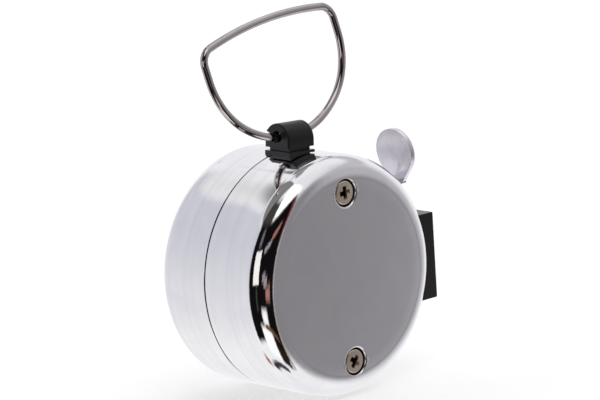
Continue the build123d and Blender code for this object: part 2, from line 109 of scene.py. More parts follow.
screw_low, screw_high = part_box("case_screws")
head_radius = 2.3 * mm
screw_z = screw_high.z - head_radius
recess_radius = 2.56 * mm
recess_depth = 0.9 * mm
recess_lip = 0.4 * mm

bezel_low, bezel_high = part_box("window_bezel")
wheel_low, wheel_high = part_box("units_wheel")
wheel_y = (wheel_low.y + wheel_high.y) / 2
wheel_z = (wheel_low.z + wheel_high.z) / 2
wheel_radius = (wheel_high.z - wheel_low.z) / 2
joint_place = {j["name"]: Vector(j["pos_m"]) for j in frame["joints"]}
slots = {s["node"]: s["material_slot"] for s in frame["record"]["subparts"]}


# ---------------------------------------------------------------- mesh tools
def mesh_object(name, bm):
    """A new object in the scene from a bmesh, which is used up."""
    mesh = bpy.data.meshes.new(name)
    bm.normal_update()
    bm.to_mesh(mesh)
    bm.free()
    piece = bpy.data.objects.new(name, mesh)
    scene.collection.objects.link(piece)
    return piece


def arc(centre, radius, start, end, steps):
    """Points of an arc in the (x, r) plane, its angles in degrees from +x towards +r."""
    angles = [radians(start + (end - start) * i / steps) for i in range(steps + 1)]
    return [(centre[0] + radius * cos(a), centre[1] + radius * sin(a)) for a in angles]


def turned(name, profile, y, z, segments=288):
    """A closed solid made by turning an open profile of (x, r) points about an X axis through (y, z)."""
    bm = bmesh.new()
    rings = []
    angles = [2 * pi * i / segments for i in range(segments)]
    for x, r in profile:
        rings.append([bm.verts.new((x, y + r * cos(a), z + r * sin(a))) for a in angles])
    for near, far in zip(rings, rings[1:]):
        for i in range(segments):
            j = (i + 1) % segments
            bm.faces.new((near[i], near[j], far[j], far[i]))
    bm.faces.new(rings[0])
    bm.faces.new(rings[-1])
    bmesh.ops.recalc_face_normals(bm, faces=bm.faces)
    return mesh_object(name, bm)


def block(name, x_range, y_range, z_range):
    """A plain block, used only as a cutter."""
    bm = bmesh.new()
    bmesh.ops.create_cube(bm, size=1)
    for v in bm.verts:
        v.co = Vector((x_range[v.co.x > 0], y_range[v.co.y > 0], z_range[v.co.z > 0]))
    return mesh_object(name, bm)


def baked(piece):
    """Replaces a piece's mesh by what its modifiers make of it."""
    evaluated = piece.evaluated_get(bpy.context.evaluated_depsgraph_get())
    mesh = bpy.data.meshes.new_from_object(evaluated)
    piece.modifiers.clear()
    piece.data = mesh
    return piece


def combined(piece, tools, operation):
    """Joins tools to a piece, or cuts them from it, and removes them."""
    for tool in tools:
        boolean = piece.modifiers.new("boolean", "BOOLEAN")
        boolean.solver = "EXACT"
        boolean.operation = operation
        boolean.object = tool
    baked(piece)
    for tool in tools:
        bpy.data.objects.remove(tool)
    return piece


def cylinder_surface(radius, y=0.0, z=0.0, outward=1):
    """Distance and normal of a round surface along X."""
    def measure(points):
        offset = points * (0, 1, 1) - (0, y, z)
        r = np.maximum(np.linalg.norm(offset, axis=1), 1e-9)
        return abs(r - radius), outward * offset / r[:, None]
    return measure


def rounding_surface(x, ring_radius, radius, y=0.0, z=0.0, outward=1):
    """Distance and normal of a rounded edge that runs round an X axis."""
    def measure(points):
        offset = points * (0, 1, 1) - (0, y, z)
        r = np.maximum(np.linalg.norm(offset, axis=1), 1e-9)
        across = offset / r[:, None] * (r - ring_radius)[:, None]
        away = across + (points - (x, 0, 0)) * (1, 0, 0)
        size = np.maximum(np.linalg.norm(away, axis=1), 1e-12)
        return abs(size - radius), outward * away / size[:, None]
    return measure


def end_surface(x, facing):
    """Distance and normal of a cup's end: slightly crowned, and turning away towards its edge."""
    def measure(points):
        offset = points * (0, 1, 1)
        r = np.maximum(np.linalg.norm(offset, axis=1), 1e-9)
        blend_end = edge_r + edge_radius * sin(radians(end_angle))
        tilt = np.interp(r, (0, end_flat, blend_end), (0, crown, radians(end_angle)))[:, None]
        depth = facing * (x - points[:, 0])
        outside = (r > blend_end + 0.01 * mm) | (depth > 0.12 * mm)
        return outside * 1.0, np.sin(tilt) * offset / r[:, None] + np.cos(tilt) * (facing, 0, 0)
    return measure


def shaded(piece, surfaces, tolerance=0.02 * mm):
    """Gives each face that lies on one of the surfaces that surface's normals, and leaves the rest flat."""
    mesh = piece.data
    centres = np.array([p.center for p in mesh.polygons])
    normals = np.array([p.normal for p in mesh.polygons])
    points = np.array([v.co for v in mesh.vertices])
    corner_normals = np.zeros((len(mesh.loops), 3))
    at_centres = [surface(centres) for surface in surfaces]
    at_points = [surface(points)[1] for surface in surfaces]
    for index, polygon in enumerate(mesh.polygons):
        chosen = None
        for (distance, direction), by_point in zip(at_centres, at_points):
            if distance[index] < tolerance and direction[index] @ normals[index] > 0.97:
                chosen = by_point
                break
        for loop in polygon.loop_indices:
            vertex = mesh.loops[loop].vertex_index
            corner_normals[loop] = normals[index] if chosen is None else chosen[vertex]
    mesh.shade_smooth()
    mesh.normals_split_custom_set([tuple(n) for n in corner_normals])
    return piece


def refined(node, name, width, segments=3, sharp=35):
    """A copy of a CAD node with its edges rounded and its faces shaded smoothly."""
    bm = bmesh.new()
    bm.from_mesh(frame["nodes"][node].data)
    bmesh.ops.remove_doubles(bm, verts=bm.verts, dist=0.001 * mm)
    bmesh.ops.dissolve_limit(bm, angle_limit=radians(0.5), verts=bm.verts, edges=bm.edges)
    edges = [e for e in bm.edges if len(e.link_faces) == 2 and e.calc_face_angle() > radians(sharp)]
    bmesh.ops.bevel(
        bm, geom=edges, offset=width, segments=segments, profile=0.5, affect="EDGES", clamp_overlap=True
    )
    for face in bm.faces:
        face.smooth = True
    piece = mesh_object(name, bm)
    piece.data.set_sharp_from_angle(angle=radians(sharp))
    weighted = piece.modifiers.new("weighted", "WEIGHTED_NORMAL")
    weighted.keep_sharp = True
    baked(piece)
    placed(piece, frame["nodes"][node]["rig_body"], node)
    return piece


def placed(piece, body, *nodes):
    """Puts a finished piece on its body, in place of the CAD nodes named."""
    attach(piece, body)
    if nodes:
        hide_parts(*nodes)
    return piece


# ---------------------------------------------------------------- material tools
def shader_node(tree, kind, inputs=None, **settings):
    """A new node in a shader tree, with its inputs linked where they are sockets and set where not."""
    made = tree.nodes.new(kind)
    for key, value in settings.items():
        setattr(made, key, value)
    for key, value in (inputs or {}).items():
        if isinstance(value, bpy.types.NodeSocket):
            tree.links.new(value, made.inputs[key])
        else:
            made.inputs[key].default_value = value
    return made


class Finish:
    """A material under construction: a Principled shader, with nodes added by name."""

    def __init__(self, name, colour, metallic=0.0, roughness=0.5, **sockets):
        self.material = bpy.data.materials.new(name)
        self.material.use_nodes = True
        self.tree = self.material.node_tree
        self.shader = self.tree.nodes["Principled BSDF"]
        self.set("Base Color", (*colour, 1))
        self.set("Metallic", metallic)
        self.set("Roughness", roughness)
        for socket, value in sockets.items():
            self.set(socket.replace("_", " "), value)
        self.place = self.node("ShaderNodeTexCoord").outputs["Object"]
        self.height = None

    def set(self, socket, value):
        self.shader.inputs[socket].default_value = value

    def node(self, kind, inputs=None, **settings):
        return shader_node(self.tree, kind, inputs, **settings)

    def link(self, output, socket):
        self.tree.links.new(output, self.shader.inputs[socket])

    def math(self, operation, *values, clamp=False):
        return self.node(
            "ShaderNodeMath", dict(enumerate(values)), operation=operation, use_clamp=clamp
        ).outputs[0]

    def mapped(self, value, low, high, to_low=0.0, to_high=1.0, smooth=False):
        """A value carried from one range to another, held at both ends."""
        kind = "SMOOTHSTEP" if smooth else "LINEAR"
        inputs = {"Value": value, "From Min": low, "From Max": high, "To Min": to_low, "To Max": to_high}
        return self.node("ShaderNodeMapRange", inputs, interpolation_type=kind).outputs["Result"]

    def stretched(self, scale, rotation=(0, 0, 0)):
        """The piece's own coordinates, stretched so that a texture draws out into streaks."""
        inputs = {"Vector": self.place, "Scale": scale, "Rotation": rotation}
        return self.node("ShaderNodeMapping", inputs).outputs["Vector"]

    def noise(self, scale, detail=3.0, roughness=0.55, vector=None, distortion=0.0):
        """Noise whose features are about 1/scale metres across."""
        inputs = {
            "Vector": vector or self.place, "Scale": scale, "Detail": detail,
            "Roughness": roughness, "Distortion": distortion,
        }
        return self.node("ShaderNodeTexNoise", inputs).outputs["Fac"]

    def blend(self, factor, first, second):
        """A colour between two, each a colour or a socket."""
        made = self.node("ShaderNodeMix", {"Factor": factor}, data_type="RGBA")
        for socket, value in zip((made.inputs[6], made.inputs[7]), (first, second)):
            if isinstance(value, bpy.types.NodeSocket):
                self.tree.links.new(value, socket)
            else:
                socket.default_value = (*value, 1)
        return made.outputs[2]

    def bump(self, height, distance, strength=1.0):
        """Adds relief of up to a distance in metres on top of what is there already."""
        inputs = {"Height": height, "Distance": distance, "Strength": strength}
        if self.height:
            inputs["Normal"] = self.height
        self.height = self.node("ShaderNodeBump", inputs).outputs["Normal"]
        self.link(self.height, "Normal")


def worn_edges(finish, low=0.5, high=0.62):
    """How far a place is on a worn convex edge, from 0 to 1."""
    pointiness = finish.node("ShaderNodeNewGeometry").outputs["Pointiness"]
    return finish.mapped(pointiness, low, high)


def drum_place(finish):
    """A finish's coordinates round the drum: x along it, and r out from its axis."""
    x, y, z = finish.node("ShaderNodeSeparateXYZ", {"Vector": finish.place}).outputs
    square = finish.math("ADD", finish.math("MULTIPLY", y, y), finish.math("MULTIPLY", z, z))
    return x, y, z, finish.math("SQRT", square)


def case_chrome():
    """Bright plating: satin on the flat ends, polished on the rounded edges, finely turned on the side."""
    finish = Finish("case_chrome", (0.86, 0.855, 0.875), metallic=1.0, roughness=0.08)
    x, y, z, r = drum_place(finish)
    flat = finish.mapped(r, face_radius - 0.4 * mm, face_radius + 0.9 * mm, 1, 0, smooth=True)
    side = finish.mapped(r, case_radius - 0.25 * mm, case_radius - 0.06 * mm, smooth=True)
    edge = finish.math("SUBTRACT", finish.math("SUBTRACT", 1, flat), side, clamp=True)
    smudge = finish.noise(140, detail=5, distortion=0.6)
    fine_lines = finish.noise(1, detail=4, vector=finish.stretched((9000, 120, 120)))
    broad_lines = finish.noise(1, detail=3, vector=finish.stretched((900, 22, 22)))
    specks = finish.noise(5200, detail=2)
    roughness = finish.math("MULTIPLY_ADD", flat, 0.155, 0.03)
    roughness = finish.math("MULTIPLY_ADD", side, 0.015, roughness)
    roughness = finish.math("MULTIPLY_ADD", finish.mapped(smudge, 0.35, 0.75), 0.03, roughness)
    # inside the two screw recesses the plating is dull, and its colour is darkened as painted shade
    from_screw = finish.math("SUBTRACT", finish.math("ABSOLUTE", z), screw_z)
    across = finish.math(
        "ADD", finish.math("MULTIPLY", y, y), finish.math("MULTIPLY", from_screw, from_screw)
    )
    inside = finish.mapped(finish.math("SQRT", across), recess_radius + 0.12 * mm, recess_radius + 0.02 * mm)
    sunk = finish.math("MULTIPLY", finish.mapped(x, 0.25 * mm, 0.5 * mm), finish.mapped(x, 5 * mm, 4 * mm))
    dull_and_painted_shade = finish.math("MULTIPLY", inside, sunk)
    finish.link(finish.math("MULTIPLY_ADD", dull_and_painted_shade, 0.4, roughness), "Roughness")
    tone = finish.blend(finish.mapped(smudge, 0.4, 0.8), (0.87, 0.865, 0.885), (0.80, 0.80, 0.83))
    streaks = finish.math("MULTIPLY", finish.mapped(broad_lines, 0.45, 0.7), side)
    tone = finish.blend(streaks, tone, (0.80, 0.795, 0.815))
    # painted shade: deep in the recesses the colour goes nearly black
    finish.link(finish.blend(dull_and_painted_shade, tone, (0.05, 0.045, 0.04)), "Base Color")
    finish.bump(finish.noise(95, detail=1.5), 0.02 * mm, strength=0.35)
    finish.bump(finish.math("MULTIPLY", finish.noise(800, detail=3), edge), 0.016 * mm, strength=0.8)
    finish.bump(finish.math("MULTIPLY", fine_lines, side), 0.002 * mm, strength=0.6)
    finish.bump(finish.math("MULTIPLY", specks, flat), 0.0012 * mm, strength=0.5)
    return finish.material


def steel(name, colour, roughness, grain, streak, variation=0.08, scratch=0.002 * mm, painted_shade_span=None):
    """Metal with drawn or brushed lines.

    grain stretches the noise that makes the lines, and streak is how much they change the gloss.
    The last argument, if given, is the range of x, in metres, over which the metal is darkened as painted
    shade.
    """
    finish = Finish(name, colour, metallic=1.0, roughness=roughness)
    lines = finish.noise(1, detail=4, vector=finish.stretched(grain))
    cloud = finish.noise(320, detail=4)
    gloss = finish.math("MULTIPLY_ADD", finish.mapped(lines, 0.3, 0.7), streak, roughness - streak / 2)
    gloss = finish.math("MULTIPLY_ADD", finish.mapped(cloud, 0.4, 0.75), 0.05, gloss)
    edge = worn_edges(finish)
    gloss = finish.math("MULTIPLY_ADD", edge, -0.4 * roughness, gloss, clamp=True)
    finish.link(gloss, "Roughness")
    dark = tuple(c * (1 - variation) for c in colour)
    bright = tuple(min(1.0, c * (1 + variation)) for c in colour)
    shade = finish.math("MULTIPLY_ADD", edge, 0.5, finish.mapped(cloud, 0.3, 0.8))
    tone = finish.blend(shade, dark, bright)
    # painted shade: the metal darkens where it sinks into its recess, out of the light
    if painted_shade_span:
        painted_shade = finish.mapped(drum_place(finish)[0], *painted_shade_span)
        tone = finish.blend(painted_shade, tone, (0.035, 0.022, 0.012))
    finish.link(tone, "Base Color")
    finish.bump(lines, scratch, strength=0.7)
    return finish.material


def moulded(name, colour, roughness, grain=0.004 * mm, specular=0.5):
    """Plastic from a lightly textured mould, with edges rubbed a little brighter and smoother."""
    finish = Finish(name, colour, roughness=roughness, Specular_IOR_Level=specular)
    texture = finish.noise(4200, detail=3)
    flow = finish.noise(260, detail=4, distortion=0.4)
    edge = worn_edges(finish, 0.51, 0.66)
    gloss = finish.math("MULTIPLY_ADD", finish.mapped(flow, 0.35, 0.7), 0.12, roughness - 0.06)
    finish.link(finish.math("MULTIPLY_ADD", edge, -0.12, gloss, clamp=True), "Roughness")
    lighter = tuple(min(1.0, c * 1.9 + 0.012) for c in colour)
    finish.link(finish.blend(finish.math("MULTIPLY", edge, 0.7), colour, lighter), "Base Color")
    finish.bump(texture, grain, strength=0.8)
    return finish.material


def clear_lens():
    """A clear acrylic window with faint smears."""
    finish = Finish("clear_lens", (0.97, 0.985, 0.98), roughness=0.02, Transmission_Weight=1.0, IOR=1.47)
    smear = finish.noise(1, detail=4, vector=finish.stretched((240, 240, 900)))
    finish.link(finish.mapped(smear, 0.45, 0.8, 0.01, 0.09), "Roughness")
    return finish.material


finishes = {
    "case_chrome": case_chrome(),
    "screw_nickel": steel(
        "screw_nickel", (0.76, 0.65, 0.54), 0.28, (900, 2600, 700), 0.10,
        # painted shade on the screw heads, from just under their tops down into the recess
        painted_shade_span=(screw_low.x + 0.32 * mm, screw_low.x + 0.95 * mm),
    ),
    "ring_steel": steel("ring_steel", (0.51, 0.475, 0.47), 0.06, (500, 500, 500), 0.03, scratch=0.001 * mm),
    "black_plastic": moulded("black_plastic", (0.0068, 0.0055, 0.0064), 0.33, specular=0.3),
    "clear_lens": clear_lens(),
    "lever_steel": steel("lever_steel", (0.77, 0.735, 0.79), 0.27, (5200, 600, 260), 0.08),
    "knob_chrome": steel("knob_chrome", (0.80, 0.80, 0.82), 0.10, (5200, 500, 500), 0.05),
    "wheel_plastic": moulded("wheel_plastic", (0.014, 0.014, 0.015), 0.42),
    "pinion_plastic": moulded("pinion_plastic", (0.82, 0.80, 0.73), 0.34),
    "frame_steel": steel("frame_steel", (0.62, 0.63, 0.60), 0.33, (300, 4200, 420), 0.12),
    "shaft_steel": steel("shaft_steel", (0.64, 0.64, 0.645), 0.22, (300, 4200, 4200), 0.10),
    "brass": steel("brass", (0.74, 0.56, 0.25), 0.24, (4200, 700, 700), 0.10),
    "figure_white": moulded("figure_white", (0.84, 0.84, 0.81), 0.45, grain=0.002 * mm),
}


# ---------------------------------------------------------------- case: two lathed shells
gap = 0.1 * mm                  # room round everything that passes through the shells
cut_back = -15 * mm             # how deep the cuts from the front go
through_front = (-case_radius - mm, cut_back)
window_x = (bezel_low.x - gap, bezel_high.x + gap)
window_z = (bezel_low.z - gap, bezel_high.z + gap)
slot_x = (8.75 * mm, 12.35 * mm)
slot_z = (8.4 * mm, 13.95 * mm)
holder_lean = radians(3)
neck_y = 1.71 * mm              # the holder's neck, before it is turned round the drum by its lean
neck_half_x = 1.95 * mm
neck_half_y = 2.3 * mm
neck_low_z = 18 * mm


def shell_cutters():
    """The openings that both shells share: the number window and the holder's neck."""
    neck_x = joint_place["ring_swing"].x
    window = block("window", window_x, through_front, window_z)
    neck = block(
        "neck",
        (neck_x - neck_half_x - gap / 2, neck_x + neck_half_x + gap / 2),
        (neck_y - neck_half_y - gap / 2, neck_y + neck_half_y + gap / 2),
        (neck_low_z, case_radius + mm),
    )
    neck.data.transform(Matrix.Rotation(holder_lean, 4, "X"))
    return [window, neck]


def outer_profile():
    """A cup's outside as (x, r) points, from its flat end round its edge to its straight side."""
    blend = arc((end_blend, end_flat), end_blend, 180, 180 - end_angle, 8)
    edge = arc((edge_x, edge_r), edge_radius, 180 - end_angle, 90 + side_angle, 32)
    side = arc((side_flat, case_radius - side_blend), side_blend, 90 + side_angle, 90, 12)
    return blend + edge[1:] + side[1:]


def outer_surfaces(x, facing):
    """The surfaces that go with outer_profile, for a cup whose end is at x."""
    return [
        rounding_surface(x - facing * edge_x, edge_r, edge_radius),
        rounding_surface(x - facing * side_flat, case_radius - side_blend, side_blend),
        cylinder_surface(case_radius),
        end_surface(x, facing),
    ]


def case_left():
    """The end shell in full view, with its two screw recesses."""
    inner_edge = edge_radius - wall
    profile = outer_profile()
    profile += arc((left_end - seam_round, case_radius - seam_round), seam_round, 90, 0, 4)
    profile += [(left_end, inner_radius)]
    profile += arc((edge_radius, face_radius), inner_edge, 90, 180, 12)
    shell = turned("case_left_shell", profile, 0, 0)
    boss_radius = 3.0 * mm
    hole_radius = 1.15 * mm
    boss = [(0.8 * mm, boss_radius), (2 * mm, boss_radius)]
    bosses = [turned("boss", boss, 0, side * screw_z, 48) for side in (-1, 1)]
    combined(shell, bosses, "UNION")
    lip_radius = recess_radius + recess_lip
    cutters = shell_cutters()
    for side in (-1, 1):
        lip = [(-mm, lip_radius)] + arc((recess_lip, lip_radius), recess_lip, 180, 270, 8)
        recess = lip + [(recess_depth, recess_radius)]
        cutters.append(turned("recess", recess, 0, side * screw_z, 96))
        hole = [(0.5 * mm, hole_radius), (3 * mm, hole_radius)]
        cutters.append(turned("hole", hole, 0, side * screw_z, 48))
    cutters.append(block("slot", slot_x, through_front, slot_z))
    combined(shell, cutters, "DIFFERENCE")
    surfaces = []
    for side in (-1, 1):
        surfaces += [
            rounding_surface(recess_lip, lip_radius, recess_lip, 0, side * screw_z),
            cylinder_surface(recess_radius, 0, side * screw_z, outward=-1),
            cylinder_surface(hole_radius, 0, side * screw_z, outward=-1),
            cylinder_surface(boss_radius, 0, side * screw_z),
        ]
    surfaces += outer_surfaces(0, -1) + [
        rounding_surface(left_end - seam_round, case_radius - seam_round, seam_round),
        cylinder_surface(inner_radius, outward=-1),
        rounding_surface(edge_radius, face_radius, inner_edge, outward=-1),
    ]
    shaded(shell, surfaces)
    shell.data.materials.append(finishes["case_chrome"])
    return placed(shell, "case", "case_left")


def case_right():
    """The shell behind the seam, with the lip that slips into the other one and the knob's bush hole."""
    inner_edge = edge_radius - wall
    inner_centre = (case_length - edge_radius, face_radius)
    lip_outer = inner_radius - 0.05 * mm
    lip_inner = 20.9 * mm
    lip_end = far_low.x
    step_x = 16.4 * mm
    profile = [(case_length - x, r) for x, r in outer_profile()]
    profile += arc((right_start + seam_round, case_radius - seam_round), seam_round, 90, 180, 4)
    profile += [(right_start, lip_outer), (lip_end, lip_outer), (lip_end, lip_inner)]
    profile += [(step_x, lip_inner), (step_x, inner_radius)]
    profile += arc(inner_centre, inner_edge, 90, 0, 12)
    shell = turned("case_right_shell", profile, 0, 0)
    bush_radius = 3.0 * mm
    cutters = shell_cutters()
    bush = [(case_length - 2 * mm, bush_radius), (case_length + mm, bush_radius)]
    cutters.append(turned("bush", bush, wheel_y, wheel_z, 96))
    lip_front = -21.49 * mm         # short of the shell itself, which stays whole beside the bezel
    cutters.append(block("lip", (lip_end - gap, step_x + gap), (lip_front, cut_back), window_z))
    combined(shell, cutters, "DIFFERENCE")
    surfaces = outer_surfaces(case_length, 1) + [
        rounding_surface(right_start + seam_round, case_radius - seam_round, seam_round),
        cylinder_surface(lip_outer),
        cylinder_surface(lip_inner, outward=-1),
        cylinder_surface(inner_radius, outward=-1),
        rounding_surface(*inner_centre, inner_edge, outward=-1),
        cylinder_surface(bush_radius, wheel_y, wheel_z, outward=-1),
    ]
    shaded(shell, surfaces)
    shell.data.materials.append(finishes["case_chrome"])
    return placed(shell, "case", "case_right")


def phillips_cutter(name, x, z, head_turn):
    """A cross that narrows as it goes in, turned about the screw's axis."""
    depth = 1.3 * mm
    bars = []
    for quarter in (0, 1):
        bm = bmesh.new()
        bmesh.ops.create_cube(bm, size=1)
        for v in bm.verts:
            deep = v.co.x > 0
            length = (0.6 if deep else 1.55) * mm
            width = (0.30 if deep else 0.52) * mm
            along = length if v.co.y > 0 else -length
            across = width if v.co.z > 0 else -width
            angle = head_turn + quarter * pi / 2
            v.co = Vector((
                x + (depth if deep else -0.3 * mm),
                along * cos(angle) - across * sin(angle),
                z + along * sin(angle) + across * cos(angle),
            ))
        bars.append(mesh_object(name + str(quarter), bm))
    return bars


def case_screws():
    """Two pan heads with cross recesses, sunk in the end shell."""
    edge = 0.34 * mm
    thread_radius = 1.0 * mm
    heads = []
    for side, head_turn in ((-1, radians(35)), (1, radians(-3))):
        z = side * screw_z
        rim_x = screw_low.x + edge + 0.22 * mm
        profile = [(screw_low.x + 0.18 * mm, 0.6 * mm), (screw_low.x + 0.2 * mm, 1.4 * mm)]
        profile += arc((rim_x, head_radius - edge), edge, 180, 90, 8)
        profile += [(recess_depth, head_radius), (recess_depth, thread_radius)]
        turns = 11
        pitch = (screw_high.x - recess_depth) / turns
        for i in range(turns):
            start = recess_depth + pitch * i
            profile += [(start + 0.5 * pitch, thread_radius - 0.15 * mm), (start + pitch, thread_radius)]
        profile[-1] = (screw_high.x, thread_radius - 0.3 * mm)
        head = turned("case_screw", profile, 0, z, 96)
        combined(head, phillips_cutter("cross", screw_low.x, z, head_turn), "DIFFERENCE")
        shaded(head, [
            rounding_surface(rim_x, head_radius - edge, edge, 0, z),
            cylinder_surface(head_radius, 0, z),
        ])
        head.data.materials.append(finishes["screw_nickel"])
        heads.append(head)
    lower, upper = heads
    with bpy.context.temp_override(active_object=lower, selected_editable_objects=[lower, upper]):
        bpy.ops.object.join()
    lower.name = "case_screw_pair"
    return placed(lower, "case", "case_screws")


# ---------------------------------------------------------------- ring holder
def holder_lip():
    """The lip over the holder's mouth, which comes down close to the wire that snaps in under it."""
    bore_x = joint_place["ring_swing"].x
    bore_z = 25.43 * mm
    section = [(1.25, 0.3), (2.78, 0.92), (2.6, 1.3), (1.3, 1.0)]       # (x, z) in mm from the bore
    half_length = 3.22 * mm
    edge_round = 0.08 * mm
    bm = bmesh.new()
    ends = []
    for y in (neck_y - half_length, neck_y + half_length):
        ends.append([bm.verts.new((bore_x + x * mm, y, bore_z + z * mm)) for x, z in section])
    bm.faces.new(ends[0])
    bm.faces.new(ends[1])
    for i in range(len(section)):
        after = (i + 1) % len(section)
        bm.faces.new((ends[0][i], ends[0][after], ends[1][after], ends[1][i]))
    bmesh.ops.recalc_face_normals(bm, faces=bm.faces)
    bmesh.ops.bevel(bm, geom=bm.edges[:], offset=edge_round, segments=2, profile=0.5, affect="EDGES")
    piece = mesh_object("holder_lip", bm)
    piece.data.transform(Matrix.Rotation(holder_lean, 4, "X"))
    piece.data.materials.append(finishes["black_plastic"])
    return placed(piece, "case")


# ---------------------------------------------------------------- finger ring
ring_wire = 0.75 * mm
ring_tilt = radians(12.3)
ring_slide = radians(6.95)
bowl_radius = 18.9 * mm
bowl_angle = radians(39)
side_radius = 13.86 * mm
side_length = 2.66 * mm
corner_radius = 3.0 * mm
arch_radius = 76.0 * mm


def ring_path():
    """The wire's closed centre line in its own plane: a bowl of two curves, sides and an arched top."""
    half_width = side_radius + (bowl_radius - side_radius) * sin(bowl_angle)
    side_low = bowl_radius - (bowl_radius - side_radius) * cos(bowl_angle)
    spread = asin((half_width - corner_radius) / (arch_radius - corner_radius))
    half = [(bowl_radius * sin(a), bowl_radius * (1 - cos(a))) for a in np.linspace(0, bowl_angle, 40)]
    for a in np.linspace(bowl_angle, pi / 2, 40)[1:]:
        half.append((half_width - side_radius * (1 - sin(a)), side_low - side_radius * cos(a)))
    half += [(half_width, side_low + side_length * t) for t in (0.5, 1)]
    side_high = side_low + side_length
    for a in np.linspace(0, pi / 2 - spread, 24)[1:]:
        half.append((half_width - corner_radius * (1 - cos(a)), side_high + corner_radius * sin(a)))
    crown_y = half[-1][1] - arch_radius * cos(spread)
    half += [(arch_radius * sin(a), crown_y + arch_radius * cos(a)) for a in np.linspace(spread, 0, 40)[1:]]
    return half + [(-x, y) for x, y in reversed(half[1:-1])]


def finger_ring():
    """One closed loop of round wire, swung a little back and slipped a little round through its holder."""
    hinge = joint_place["ring_swing"]
    across = Vector((0, -1, 0))
    upward = Vector((sin(ring_tilt), 0, cos(ring_tilt)))
    start = hinge + across * bowl_radius * sin(ring_slide)
    along = across * cos(ring_slide) + upward * sin(ring_slide)
    plane_normal = across.cross(upward).normalized()
    rise = plane_normal.cross(along)
    centres = [start + along * x + rise * y for x, y in ring_path()]
    bm = bmesh.new()
    rings = []
    sides = 32
    angles = [2 * pi * k / sides for k in range(sides)]
    for i, point in enumerate(centres):
        tangent = (centres[(i + 1) % len(centres)] - centres[i - 1]).normalized()
        outward = tangent.cross(plane_normal)
        round_wire = [point + ring_wire * (cos(a) * outward + sin(a) * plane_normal) for a in angles]
        rings.append([bm.verts.new(place) for place in round_wire])
    for near, far in zip(rings, rings[1:] + rings[:1]):
        for k in range(sides):
            face = bm.faces.new((near[k], near[(k + 1) % sides], far[(k + 1) % sides], far[k]))
            face.smooth = True
    bmesh.ops.recalc_face_normals(bm, faces=bm.faces)
    ring = mesh_object("finger_ring_wire", bm)
    ring.data.materials.append(finishes["ring_steel"])
    return placed(ring, "ring", "finger_ring")


# ---------------------------------------------------------------- figures on the number wheels
figure_height = 5.0 * mm
figure_relief = 0.05 * mm
figure_share = 0.72             # how tall a figure of the font is, as a part of the font's size
figure_squeeze = 0.86           # and how much narrower it is made


def figure_mesh(text):
    """One figure as a thin solid, flat, centred on the origin and finely sliced so that it can bend."""
    curve = bpy.data.curves.new("figure", "FONT")
    curve.body = text
    curve.align_x = "CENTER"
    curve.extrude = 0.5
    curve.offset = 0.012
    curve.resolution_u = 8
    source = bpy.data.objects.new("figure", curve)
    scene.collection.objects.link(source)
    bpy.context.view_layer.update()
    mesh = bpy.data.meshes.new_from_object(source.evaluated_get(bpy.context.evaluated_depsgraph_get()))
    bpy.data.objects.remove(source)
    bm = bmesh.new()
    bm.from_mesh(mesh)
    bmesh.ops.remove_doubles(bm, verts=bm.verts, dist=1e-5)
    ys = [v.co.y for v in bm.verts]
    middle = (min(ys) + max(ys)) / 2
    scale = figure_height / figure_share
    slices = 16
    for i in range(1, slices):
        height = min(ys) + (max(ys) - min(ys)) * i / slices
        geometry = bm.verts[:] + bm.edges[:] + bm.faces[:]
        bmesh.ops.bisect_plane(bm, geom=geometry, plane_co=(0, height, 0), plane_no=(0, 1, 0), dist=1e-6)
    for v in bm.verts:
        side = 1 if v.co.z > 0 else -1
        v.co = Vector((v.co.x * scale * figure_squeeze, (v.co.y - middle) * scale, side))
    return bm


def wheel_figures(name, figures):
    """The figures 0 to 9 wrapped round one wheel, each reading upright from the window side in its turn."""
    centre = joint_place[name + "_turn"].x
    bm = bmesh.new()
    for number, source in enumerate(figures):
        turn = pi - number * pi / 5
        vertices = []
        for v in source.verts:
            angle = turn - v.co.y / wheel_radius
            radius = wheel_radius + (figure_relief if v.co.z > 0 else -figure_relief)
            place = (centre + v.co.x, wheel_y + radius * cos(angle), wheel_z + radius * sin(angle))
            vertices.append(bm.verts.new(place))
        for face in source.faces:
            bm.faces.new([vertices[v.index] for v in face.verts])
    bmesh.ops.recalc_face_normals(bm, faces=bm.faces)
    piece = mesh_object(name + "_figures", bm)
    piece.data.materials.append(finishes["figure_white"])
    return placed(piece, name)


# ---------------------------------------------------------------- every piece
def build_object():
    case_left()
    case_right()
    case_screws()
    holder_lip()
    finger_ring()
    for node, width in (
        ("ring_holder", 0.10 * mm),
        ("window_bezel", 0.16 * mm),
        ("window_lens", 0.05 * mm),
        ("thumb_lever", 0.14 * mm),
        ("reset_knob", 0.08 * mm),
        ("knob_screw", 0.08 * mm),
        ("knob_bush", 0.08 * mm),
    ):
        piece = refined(node, node + "_finished", width)
        piece.data.materials.clear()
        piece.data.materials.append(finishes[slots[node]])
    figures = [figure_mesh(str(number)) for number in range(10)]
    for source in figures:
        source.verts.index_update()
    for name in ("units", "tens", "hundreds", "thousands"):
        wheel_figures(name, figures)
    for source in figures:
        source.free()
    for node, slot in slots.items():
        for material_slot in frame["nodes"][node].material_slots:
            material_slot.link = "OBJECT"
            material_slot.material = finishes[slot]


# ---------------------------------------------------------------- studio
camera_side = 136.9         # the camera's azimuth in degrees, from +X towards +Y
